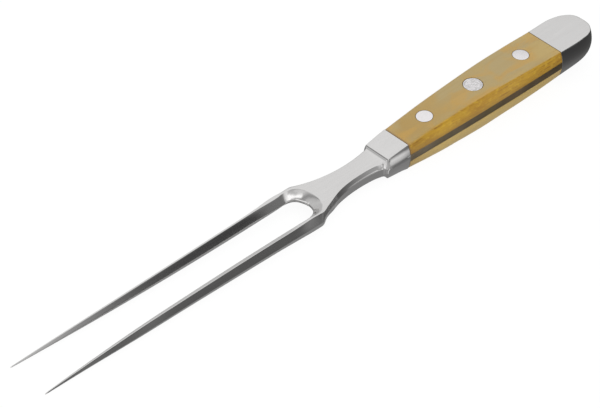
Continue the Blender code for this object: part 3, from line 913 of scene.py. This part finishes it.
# ---------------------------------------------------------------------- scales
def scale(name, node, side, finish):
    bm = bmesh.new()
    height = handle_half_height if side > 0 else belly_half_height
    front, rear = SCALE_FRONT_X + JOINT, SCALE_REAR_X - JOINT
    places = [front, front + 0.06] + [
        front + 0.06 + (rear - front - 0.12) * i / 84.0 for i in range(1, 84)
    ] + [rear - 0.06, rear]
    low = TANG_HALF + 0.05
    rows = []
    for number, x in enumerate(places):
        inset = 0.05 if number in (0, len(places) - 1) else 0.0
        half = height(x) - inset
        flat, belly = handle_half_flat(x) - inset, handle_half_belly(x) - inset
        u = (x - front) / (rear - front)
        setback = 1.15 * (1.0 - ease(u / 0.55)) + 0.55 * ease(u / 0.55) * (1.0 - 0.25 * u)

        def at(share):
            return Vector((x, belly - (belly - flat) * share * share, half * share))

        first = 1.0 - setback / half
        corner = bezier(Vector((x, flat - setback, half)), at(1.0), at(first), 7)
        shares = [first - (first - low / half) * s for s in (0.14, 0.3, 0.48, 0.66, 0.84, 0.98, 1.0)]
        outline = [Vector((x, (flat - setback) * s, half)) for s in (0.0, 0.3, 0.62, 0.88)]
        outline += corner + [at(s) for s in shares]
        end_y = outline[-1].y
        outline += [Vector((x, end_y * s, low)) for s in (0.985, 0.5, 0.0)]
        rows.append([Vector((p.x, p.y, side * p.z)) for p in outline])
    made = skin(bm, rows)
    bm.faces.new(made[0])
    bm.faces.new(made[-1][::-1])
    bmesh.ops.mirror(bm, geom=bm.verts[:] + bm.edges[:] + bm.faces[:], axis="Y", merge_dist=5e-4)
    flat = [f for f in bm.faces if all(abs(v.co[1]) < 1e-5 for v in f.verts)]
    bmesh.ops.delete(bm, geom=flat, context="FACES")
    for vertex in bm.verts:
        spread(vertex.co)
    obj = finish_mesh(name, bm, finish, "pale_wood", node)
    holes = []
    for key, (_, radius) in RIVETS.items():
        place = rivet_place(key)
        seat = side * (height(place[0]) - HEAD_DEPTH - 0.2)
        low_z, high_z = sorted((seat, side * 12.0))
        holes.append((place, radius + 0.17, low_z, high_z, 64))
        low_z, high_z = sorted((side * 0.5, seat + side * 1.0))
        holes.append((place, TUBE_OUTER + 0.1, low_z, high_z, 32))
    bore(obj, holes)
    return settle(obj, node, 30.0)


# ---------------------------------------------------------------------- rivets
def turned(name, node, place, profile, slope, side, finish, sides=72):
    """A turned piece; profile of (radius, z), the points above `under` follow the slope."""
    bm = bmesh.new()
    x, y = place
    outline = [bm.verts.new((x + r, y, z)) for r, z in profile]
    edges = [bm.edges.new(pair) for pair in zip(outline, outline[1:])]
    bmesh.ops.spin(
        bm, geom=outline + edges, cent=(x, y, 0.0), axis=(0.0, 0.0, 1.0),
        angle=2.0 * math.pi, steps=sides, use_merge=True,
    )
    bmesh.ops.remove_doubles(bm, verts=bm.verts, dist=1e-4)
    limit = max(side * v.co.z for v in bm.verts) - 0.6
    for v in bm.verts:
        if side * v.co.z > limit:
            v.co.z += side * slope * (v.co.x - x)
    obj = finish_mesh(name, bm, finish, "rivet_steel", node)
    return settle(obj, node, 40.0)


def head_face(radius, top, worked):
    """Radius and height of the outer face of a head, from the middle to its edge."""
    if not worked:
        return [
            (radius * s, top + 0.05 * (1.0 - s * s)) for s in (0.0, 0.25, 0.5, 0.72, 0.88)
        ] + [(radius - 0.10, top), (radius - 0.03, top - 0.03), (radius, top - 0.10)]
    points = []
    steps = 36
    inner = radius - 1.02
    for i in range(steps + 1):
        r = inner * i / steps
        points.append((r, top - 0.10 + 0.022 * math.cos(2.0 * math.pi * r / 0.74)))
    points += [
        (inner + 0.10, top - 0.13), (inner + 0.20, top - 0.12), (inner + 0.34, top + 0.03),
        (inner + 0.46, top + 0.06), (radius - 0.36, top + 0.06), (radius - 0.18, top + 0.03),
        (radius - 0.04, top - 0.05), (radius, top - 0.13),
    ]
    return points


def rivet(key):
    place, radius = rivet_place(key), RIVETS[key][1]
    x = place[0]
    worked = key == "middle"
    finish = rivet_centre if worked else rivet_plain
    delta = 0.5
    half = handle_half_height(x)
    slope = (handle_half_height(x + delta) - handle_half_height(x - delta)) / (2 * delta)
    under = half - HEAD_DEPTH
    profile = head_face(radius, half, worked) + [
        (radius, under + 0.06), (radius - 0.06, under), (TUBE_OUTER, under),
        (TUBE_OUTER, TUBE_END_Z + 0.1), (TUBE_OUTER - 0.1, TUBE_END_Z),
        (TUBE_INNER + 0.1, TUBE_END_Z), (TUBE_INNER, TUBE_END_Z + 0.1),
        (TUBE_INNER, PIN_END_Z + 0.6), (0.0, PIN_END_Z + 0.8),
    ]
    turned(f"{key}_rivet_upper", f"{key}_rivet_tube", place, profile, slope, 1.0, finish)
    half = belly_half_height(x)
    slope = (belly_half_height(x + delta) - belly_half_height(x - delta)) / (2 * delta)
    under = half - HEAD_DEPTH
    face = [(r, -(min(z, half - 0.03))) for r, z in head_face(radius, half - 0.05, False)]
    profile = [(0.0, PIN_END_Z), (PIN_RADIUS - 0.15, PIN_END_Z), (PIN_RADIUS, PIN_END_Z - 0.15)]
    profile += [(PIN_RADIUS, -under), (radius - 0.06, -under), (radius, -under - 0.06)]
    profile += face[::-1]
    turned(f"{key}_rivet_lower", f"{key}_rivet_pin", place, profile, slope, -1.0, rivet_plain)


forging()
scale("scale_upper", "upper_scale", 1.0, wood_upper)
scale("scale_lower", "lower_scale", -1.0, wood_lower)
for rivet_key in RIVETS:
    rivet(rivet_key)

# ----------------------------------------------------------------------- stage
bm = bmesh.new()
bmesh.ops.create_circle(bm, cap_ends=True, segments=96, radius=14.0)
floor_mesh = bpy.data.meshes.new("floor")
bm.to_mesh(floor_mesh)
bm.free()
floor = bpy.data.objects.new("floor", floor_mesh)
bpy.context.scene.collection.objects.link(floor)
floor.location = (0.0, 0.0, -0.0002)
paper = Nodes("floor_paper")
tone = paper.noise(paper.where(), 3.0, 2.0, 0.5)
paper.drive("Base Color", paper.ramp(tone, [(0.3, (0.10, 0.10, 0.10)), (0.7, (0.12, 0.12, 0.12))]))
paper.set(Roughness=0.9, Specular_IOR_Level=0.0)
paper.set(Emission_Color=(1.0, 1.0, 1.0), Emission_Strength=0.92)
floor_mesh.materials.append(paper.made)
floor.visible_glossy = False

world = bpy.data.worlds.new("studio")
bpy.context.scene.world = world
world.use_nodes = True


class Sky(Nodes):
    def __init__(self, tree):
        self.tree = tree
        self.shader = tree.nodes["Background"]

    def direction(self):
        return self.add("ShaderNodeTexCoord").outputs["Generated"]

    def dot(self, vector, way):
        node = self.add("ShaderNodeVectorMath", operation="DOT_PRODUCT")
        self.link(vector, node.inputs[0])
        node.inputs[1].default_value = way
        return node.outputs["Value"]

    def flat_direction(self, vector):
        node = self.add("ShaderNodeVectorMath", operation="MULTIPLY")
        self.link(vector, node.inputs[0])
        node.inputs[1].default_value = (1.0, 1.0, 0.0)
        unit = self.add("ShaderNodeVectorMath", operation="NORMALIZE")
        self.link(node.outputs["Vector"], unit.inputs[0])
        return unit.outputs["Vector"]

    def blob(self, vector, way, inner, outer):
        """1 within `inner` degrees of a direction, 0 beyond `outer`."""
        way = Vector(way).normalized()
        return self.span(
            self.dot(vector, way), math.cos(math.radians(outer)), math.cos(math.radians(inner)),
            0.0, 1.0, True,
        )

    def sector(self, vector, azimuth, inner, outer, low, high):
        """A window in azimuth and in height; low and high are pairs of heights, outside and inside."""
        a = math.radians(azimuth)
        across = self.blob(self.flat_direction(vector), (math.cos(a), math.sin(a), 0.0), inner, outer)
        z = self.dot(vector, (0.0, 0.0, 1.0))
        up = self.span(z, low[0], low[1], 0.0, 1.0, True)
        down = self.span(z, high[0], high[1], 0.0, 1.0, True)
        return self.math("MULTIPLY", self.math("MULTIPLY", across, up), down)


DEGREE = math.pi / 180.0
sky = Sky(world.node_tree)
way = sky.direction()
height = sky.dot(way, (0.0, 0.0, 1.0))
level = sky.math("ARCSINE", height, 0.0)
turned_x = sky.dot(way, (1.0, 0.0, 0.0))
turned_y = sky.dot(way, (0.0, 1.0, 0.0))
round_front = sky.math("ARCTAN2", turned_y, turned_x)                        # 0 along +x
round_back = sky.math(
    "ARCTAN2", sky.math("MULTIPLY", turned_y, -1.0), sky.math("MULTIPLY", turned_x, -1.0)
)                                                                            # 0 along -x


def step(angle, off, on):
    """0 at the angle `off`, 1 at the angle `on`, in degrees."""
    return sky.span(angle, off * DEGREE, on * DEGREE, 0.0, 1.0, True)


def window(*steps):
    out = steps[0]
    for other in steps[1:]:
        out = sky.math("MULTIPLY", out, other)
    return out


def greys(angle, stops):
    """A grey that follows an angle: stops of (degrees, grey)."""
    low, high = stops[0][0], stops[-1][0]
    value = sky.span(angle, low * DEGREE, high * DEGREE, 0.0, 1.0)
    return sky.ramp(value, [((a - low) / (high - low), (g,) * 3) for a, g in stops])


def band(angle, off_low, on_low, on_high, off_high):
    """1 between the two inner angles, 0 outside the two outer ones."""
    return window(step(angle, off_low, on_low), step(angle, off_high, on_high))


# soft light all round, darker below
dome = greys(level, [
    (-90.0, 0.36), (-60.0, 0.32), (-45.0, 0.30), (-37.0, 0.31), (-30.0, 0.44), (-20.0, 0.60),
    (-8.0, 0.70), (5.0, 0.73), (24.0, 0.75), (33.0, 0.79), (37.0, 1.01), (41.0, 1.045), (52.0, 1.085),
    (90.0, 1.10),
])
# dark flag in front of the handle side; its edge leans
flag_edge = sky.math(
    "ADD", round_front, sky.math("MULTIPLY", sky.math("SUBTRACT", 20.0 * DEGREE, level), 0.25)
)
flag = window(
    step(flag_edge, -67.5, -60.5), step(round_front, 15.0, -15.0), band(level, -13.0, -6.0, 27.0, 40.0)
)
dome = sky.mix(flag, dome, greys(level, [
    (-14.0, 0.24), (-8.0, 0.225), (-5.5, 0.185), (-3.0, 0.145), (-1.5, 0.125), (0.5, 0.15), (3.5, 0.20),
    (7.0, 0.19), (9.5, 0.085), (13.0, 0.05), (14.2, 0.085), (15.4, 0.17), (17.0, 0.24), (20.0, 0.24),
    (28.0, 0.29), (42.0, 0.5),
]))
# paler strip at the flag's near end
dome = sky.mix(
    window(band(round_front, -59.5, -57.2, -52.5, -50.5), band(level, 0.5, 4.5, 8.0, 10.0)),
    dome, (0.29, 0.29, 0.29),
)
# low light that fades from the tip side to the butt
low_light = window(
    step(round_front, 14.0, -8.0), step(round_front, -78.0, -70.0), band(level, -37.0, -33.5, -13.0, -8.0)
)
dome = sky.mix(low_light, dome, greys(round_front, [
    (-78.0, 0.58), (-72.0, 0.50), (-66.0, 0.50), (-61.0, 0.50), (-55.0, 0.41), (-49.0, 0.32), (-42.0, 0.21),
    (-34.0, 0.17), (-26.0, 0.12), (-16.0, 0.13), (-8.0, 0.15), (14.0, 0.20),
]))
# glow along the floor line, and a small kick from beside the butt
dome = sky.mix(
    window(band(round_front, -72.0, -66.0, -42.0, -33.0), band(level, -40.0, -36.5, -31.5, -28.5)),
    dome, greys(round_front, [
        (-70.0, 1.2), (-60.0, 1.1), (-57.0, 0.95), (-50.0, 0.75), (-44.0, 0.62), (-33.0, 0.50),
    ]),
)
dome = sky.mix(
    window(band(round_front, 3.0, 8.0, 9.0, 16.0), band(level, -50.0, -46.0, -39.0, -34.0)),
    dome, (0.40, 0.40, 0.40),
)
# side light at bench height, and what it throws on beyond the tips
dome = sky.mix(
    window(band(round_front, -132.0, -116.0, -78.5, -72.5), band(level, -62.0, -55.0, -3.0, 6.0)),
    dome, greys(level, [
        (-62.0, 0.37), (-46.0, 0.40), (-41.0, 0.42), (-37.0, 0.53), (-33.0, 0.82), (-29.0, 1.35),
        (-24.0, 1.25), (-18.0, 1.05), (-6.0, 1.0), (6.0, 1.0),
    ]),
)
dome = sky.mix(
    window(band(round_front, -179.0, -172.0, -138.0, -131.0), band(level, -62.0, -55.0, -17.0, -12.0)),
    dome, greys(level, [
        (-62.0, 0.43), (-36.0, 0.43), (-33.0, 0.55), (-28.0, 0.92), (-24.0, 0.62), (-15.0, 0.60),
    ]),
)
dome = sky.mix(
    window(band(round_back, -35.0, -28.0, -15.0, -8.0), band(level, -50.0, -46.0, -40.0, -37.0)),
    dome, (1.1, 1.1, 1.1),
)


def border(angle, stops):
    """How far above a border the direction is: stops of (degrees round, degrees high)."""
    edge = greys(angle, [(place, 0.01 * high) for place, high in stops])
    return sky.math("SUBTRACT", level, sky.math("MULTIPLY", edge, 100.0 * DEGREE))


# darker room beyond the tips
over_room = border(round_back, [
    (-66.0, 47.0), (-53.0, 51.0), (-42.0, 57.0), (-35.0, 58.5), (-20.0, 59.0), (0.0, 57.5), (30.0, 60.0),
    (60.0, 56.0),
])
room = window(band(round_back, -95.0, -80.0, 52.0, 72.0), step(level, 20.0, 30.0))
dome = sky.mix(room, dome, greys(over_room, [
    (-14.0, 0.80), (-9.0, 0.72), (-6.5, 0.66), (-5.0, 0.56), (-3.0, 0.46), (-1.0, 0.41), (1.0, 0.44),
    (3.0, 0.57), (5.0, 0.70), (9.0, 0.85), (14.0, 0.88),
]))
# dark stand in front of the bolster
dome = sky.mix(
    window(band(round_back, -46.0, -40.0, -26.0, -20.0), band(level, -26.0, -20.0, 12.0, 32.0)),
    dome, (0.40, 0.40, 0.40),
)
# large soft box behind the camera; its edges run aslant
over_box = border(round_back, [
    (-16.0, 57.0), (-5.0, 59.0), (8.0, 61.0), (22.0, 62.3), (40.0, 59.0), (50.0, 55.5), (70.0, 53.0),
    (85.0, 51.5), (103.0, 44.5), (109.0, 46.0), (114.0, 38.0), (118.0, 37.0), (123.0, 38.0),
])
over_foot = border(round_back, [
    (-16.0, 65.0), (-5.0, 61.0), (5.0, 60.0), (18.0, 59.3), (27.0, 58.7), (49.0, 56.3), (69.0, 52.3),
    (76.0, 47.5),
    (82.0, 40.0), (90.0, 10.0),
])
box_edge = sky.math(
    "SUBTRACT", round_back, sky.math("MULTIPLY", sky.math("SUBTRACT", level, 28.0 * DEGREE), 0.95)
)
box = window(
    step(box_edge, 114.0, 96.0), step(over_foot, -1.5, 1.5), step(round_back, -16.0, -8.0),
    step(level, -5.0, 15.0),
)
dome = sky.mix(box, dome, greys(over_box, [
    (-30.0, 1.64), (3.0, 1.64), (5.0, 1.60), (7.5, 1.40), (9.0, 1.22), (11.0, 1.03), (13.0, 0.90),
    (15.5, 0.75), (30.0, 0.60),
]))
dome = sky.mix(
    window(band(round_back, -32.0, -22.0, 36.0, 48.0), band(level, 6.0, 16.0, 47.0, 55.0)),
    dome, (1.25, 1.25, 1.25),
)
# open dark rafters overhead
dome = sky.mix(step(level, 67.5, 75.0), dome, greys(
    sky.math("ABSOLUTE", round_front, 0.0), [(0.0, 0.58), (60.0, 0.62), (100.0, 0.84), (180.0, 0.92)],
))
seen = sky.add("ShaderNodeLightPath").outputs["Is Camera Ray"]
dome = sky.mix(seen, dome, (1.0, 1.0, 1.0))
sky.link(dome, sky.shader.inputs["Color"])
sky.shader.inputs["Strength"].default_value = 1.0


def card(name, places, heights, stops, fall=None, melt=()):
    """A curved card that only mirrors see: places in plan, heights, greys from its foot to its head."""
    bm = bmesh.new()
    skin(bm, [[Vector((x, y, z)) for z in heights] for x, y in places])
    bm.transform(PLACE)
    corners = [v.co.z for v in bm.verts]
    ends = [v.co.x for v in bm.verts]
    mesh = bpy.data.meshes.new(name)
    bm.to_mesh(mesh)
    bm.free()
    obj = bpy.data.objects.new(name, mesh)
    bpy.context.scene.collection.objects.link(obj)
    felt = Nodes(name)
    tone = felt.ramp(
        felt.span(felt.axis("Z"), min(corners), max(corners), 0.0, 1.0),
        [(place, (grey,) * 3) for place, grey in stops],
    )
    if fall:
        side = felt.span(felt.axis("X"), min(ends), max(ends), 0.0, 1.0)
        tone = felt.mix(1.0, tone, felt.ramp(side, [(p, (g,) * 3) for p, g in fall]), "MULTIPLY")
    for axis, solid, gone in melt:
        tone = felt.mix(felt.span(felt.axis(axis), solid, gone, 0.0, 1.0, True), tone, (0.72, 0.72, 0.72))
    felt.set(Base_Color=(0.0, 0.0, 0.0), Roughness=1.0, Specular_IOR_Level=0.0, Emission_Strength=1.0)
    felt.drive("Emission Color", tone)
    mesh.materials.append(felt.made)
    obj.visible_camera = False
    obj.visible_diffuse = False
    obj.visible_shadow = False
    obj.visible_transmission = False


# dark card beside the butt; light and dark cards beside the bolster
card(
    "card_butt",
    [
        (287.0 + 46.0 * math.cos(math.radians(a)), -2.0 + 46.0 * math.sin(math.radians(a)))
        for a in range(-110, 46, 4)
    ],
    (-95.0, -60.0, -36.0, -18.0, -6.0, 1.0, 8.0, 15.0),
    [(0.0, 0.24), (0.394, 0.15), (0.656, 0.085), (0.875, 0.055), (1.0, 0.055)],
    melt=[
        ("X", along(290.0), along(273.0)), ("Y", 0.0105, 0.0285),
        ("Z", (PLACE @ Vector((318.0, 0.0, 1.0))).z, (PLACE @ Vector((318.0, 0.0, 14.5))).z),
    ],
)
card(
    "card_bolster_light", [(191.0, -25.0), (203.0, -25.0)], (-13.0, 6.6),
    [(0.0, 0.23), (0.026, 0.25), (0.153, 0.36), (0.25, 0.56), (0.342, 0.78), (0.398, 0.84), (0.56, 0.95),
     (0.638, 1.08), (0.72, 0.90), (0.80, 0.52), (0.86, 0.27), (0.923, 0.33), (1.0, 0.38)],
    [(0.0, 1.0), (0.6, 0.93), (1.0, 0.55)],
)
card("card_bolster_shade", [(195.0, -25.0), (209.0, -25.0)], (-21.0, -13.0), [(0.0, 0.25), (1.0, 0.22)])

# ---------------------------------------------------------------------- camera
AZIMUTH, ELEVATION, ROLL = math.radians(-45.186), math.radians(41.526), math.radians(0.956)
DISTANCE, FOCAL = 1500.0, 3902.7
aim = Vector((142.155, 2.921, 0.0))
back = Vector((
    math.sin(AZIMUTH) * math.cos(ELEVATION), -math.cos(AZIMUTH) * math.cos(ELEVATION), math.sin(ELEVATION)
))
right = Vector((math.cos(AZIMUTH), math.sin(AZIMUTH), 0.0))
up = back.cross(right)
right, up = (
    right * math.cos(ROLL) + up * math.sin(ROLL),
    up * math.cos(ROLL) - right * math.sin(ROLL),
)
camera_data = bpy.data.cameras.new("camera")
camera_data.sensor_fit = "HORIZONTAL"
camera_data.sensor_width = 36.0
camera_data.lens = FOCAL / 600.0 * 36.0
camera_data.clip_start, camera_data.clip_end = 0.02, 60.0
camera = bpy.data.objects.new("camera", camera_data)
bpy.context.scene.collection.objects.link(camera)
axes = Matrix((turn @ right, turn @ up, turn @ back)).transposed().to_4x4()
camera.matrix_world = Matrix.Translation(PLACE @ (aim + back * DISTANCE)) @ axes
bpy.context.scene.camera = camera
bpy.context.scene.view_settings.view_transform = "Standard"
